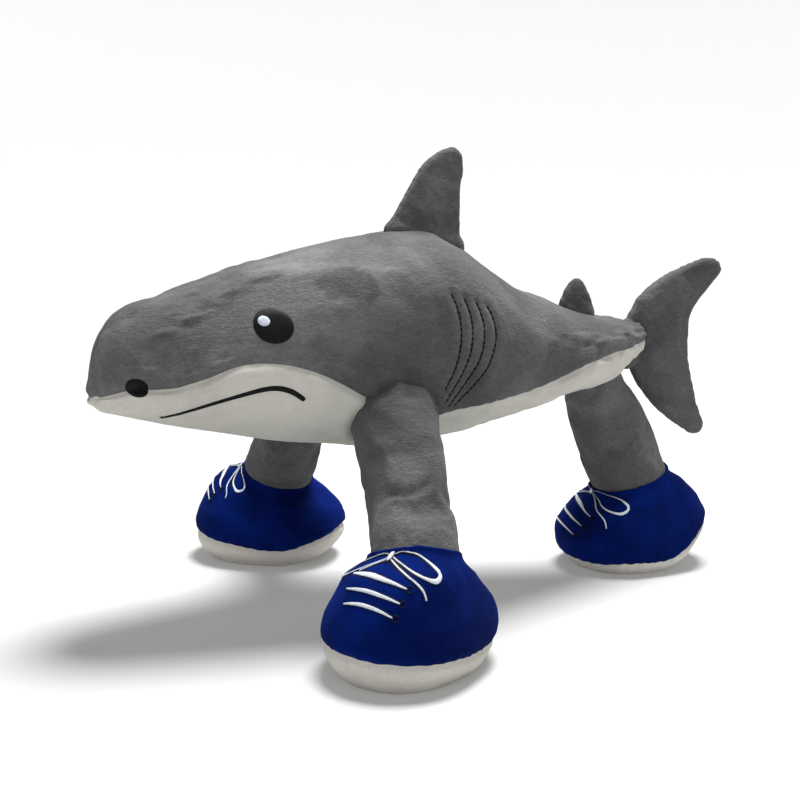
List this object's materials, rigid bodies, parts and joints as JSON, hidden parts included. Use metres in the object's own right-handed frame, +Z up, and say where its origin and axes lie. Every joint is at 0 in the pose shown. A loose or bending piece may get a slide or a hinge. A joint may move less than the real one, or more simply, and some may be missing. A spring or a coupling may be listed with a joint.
{
  "type": "plush shark",
  "caption": "Stuffed shark with a white belly, embroidered face and gill lines, fins and a forked tail, standing on stuffed legs in soft laced shoes.",
  "frame": {"origin": "on the floor, in the middle of the toy's length and width", "axes": "+X from the nose to the tail, +Y to the shark's right, +Z up"},
  "size_m": [0.3557, 0.27, 0.2265],
  "materials": {
    "grey_plush": "short-pile minky plush, mid grey",
    "white_plush": "short-pile minky plush, warm off-white",
    "fibre_fill": "polyester fibre filling",
    "blue_fabric": "smooth short-pile velboa, royal blue",
    "sole_fabric": "short-pile plush over a flat pad, off-white",
    "black_thread": "rayon embroidery thread, black",
    "white_thread": "rayon embroidery thread, white"
  },
  "bodies": {
    "torso": {"back_panel_left": "grey_plush", "back_panel_right": "grey_plush", "belly_panel": "white_plush", "body_stuffing": "fibre_fill", "eye_left": "black_thread", "eye_right": "black_thread", "eye_glint_left": "white_thread", "eye_glint_right": "white_thread", "nostril_left": "black_thread", "nostril_right": "black_thread", "mouth_embroidery": "black_thread", "gill_stitches_left": "black_thread", "gill_stitches_right": "black_thread"},
    "dorsal_fin": {"dorsal_fin_left_panel": "grey_plush", "dorsal_fin_right_panel": "grey_plush", "dorsal_fin_stuffing": "fibre_fill"},
    "rear_dorsal_fin": {"rear_dorsal_left_panel": "grey_plush", "rear_dorsal_right_panel": "grey_plush", "rear_dorsal_stuffing": "fibre_fill"},
    "tail_fin": {"tail_fin_left_panel": "grey_plush", "tail_fin_right_panel": "grey_plush", "tail_fin_stuffing": "fibre_fill"},
    "front_left_leg": {"front_left_leg_sleeve": "grey_plush", "front_left_leg_stuffing": "fibre_fill"},
    "front_left_foot": {"front_left_shoe_upper": "blue_fabric", "front_left_shoe_sole": "sole_fabric", "front_left_shoe_stuffing": "fibre_fill", "front_left_lace": "white_thread", "front_left_lace_outline": "black_thread"},
    "front_right_leg": {"front_right_leg_sleeve": "grey_plush", "front_right_leg_stuffing": "fibre_fill"},
    "front_right_foot": {"front_right_shoe_upper": "blue_fabric", "front_right_shoe_sole": "sole_fabric", "front_right_shoe_stuffing": "fibre_fill", "front_right_lace": "white_thread", "front_right_lace_outline": "black_thread"},
    "rear_leg": {"rear_leg_sleeve": "grey_plush", "rear_leg_stuffing": "fibre_fill"},
    "rear_foot": {"rear_shoe_upper": "blue_fabric", "rear_shoe_sole": "sole_fabric", "rear_shoe_stuffing": "fibre_fill", "rear_lace": "white_thread", "rear_lace_outline": "black_thread"}
  },
  "joints": [
    {"name": "dorsal_fin_flex", "type": "hinge", "parent": "torso", "child": "dorsal_fin", "pos_m": [-0.01, 0, 0.185], "axis": [1, 0, 0], "range_deg": [-15, 15], "stiffness_Nm_per_rad": 0.2},
    {"name": "rear_dorsal_fin_flex", "type": "hinge", "parent": "torso", "child": "rear_dorsal_fin", "pos_m": [0.0815, 0, 0.1435], "axis": [1, 0, 0], "range_deg": [-15, 15], "stiffness_Nm_per_rad": 0.02},
    {"name": "tail_fin_sway", "type": "hinge", "parent": "torso", "child": "tail_fin", "pos_m": [0.1228, 0, 0.12], "axis": [0, 0, 1], "range_deg": [-25, 25], "stiffness_Nm_per_rad": 0.5},
    {"name": "front_left_hip", "type": "hinge", "parent": "torso", "child": "front_left_leg", "pos_m": [-0.055, -0.0676, 0.1016], "axis": [0, 1, 0], "range_deg": [-25, 25], "stiffness_Nm_per_rad": 2},
    {"name": "front_right_hip", "type": "hinge", "parent": "torso", "child": "front_right_leg", "pos_m": [-0.055, 0.0676, 0.1016], "axis": [0, 1, 0], "range_deg": [-25, 25], "stiffness_Nm_per_rad": 2},
    {"name": "rear_hip", "type": "hinge", "parent": "torso", "child": "rear_leg", "pos_m": [0.1009, 0, 0.0853], "axis": [0, 1, 0], "range_deg": [-17, 25], "stiffness_Nm_per_rad": 2},
    {"name": "front_left_ankle", "type": "hinge", "parent": "front_left_leg", "child": "front_left_foot", "pos_m": [-0.057, -0.093, 0.047], "axis": [-0.5592, 0.829, 0], "range_deg": [-12, 12], "stiffness_Nm_per_rad": 1},
    {"name": "front_right_ankle", "type": "hinge", "parent": "front_right_leg", "child": "front_right_foot", "pos_m": [-0.057, 0.093, 0.047], "axis": [0.5592, 0.829, 0], "range_deg": [-12, 12], "stiffness_Nm_per_rad": 1},
    {"name": "rear_ankle", "type": "hinge", "parent": "rear_leg", "child": "rear_foot", "pos_m": [0.119, 0, 0.047], "axis": [0, 1, 0], "range_deg": [-12, 8], "stiffness_Nm_per_rad": 1}
  ]
}
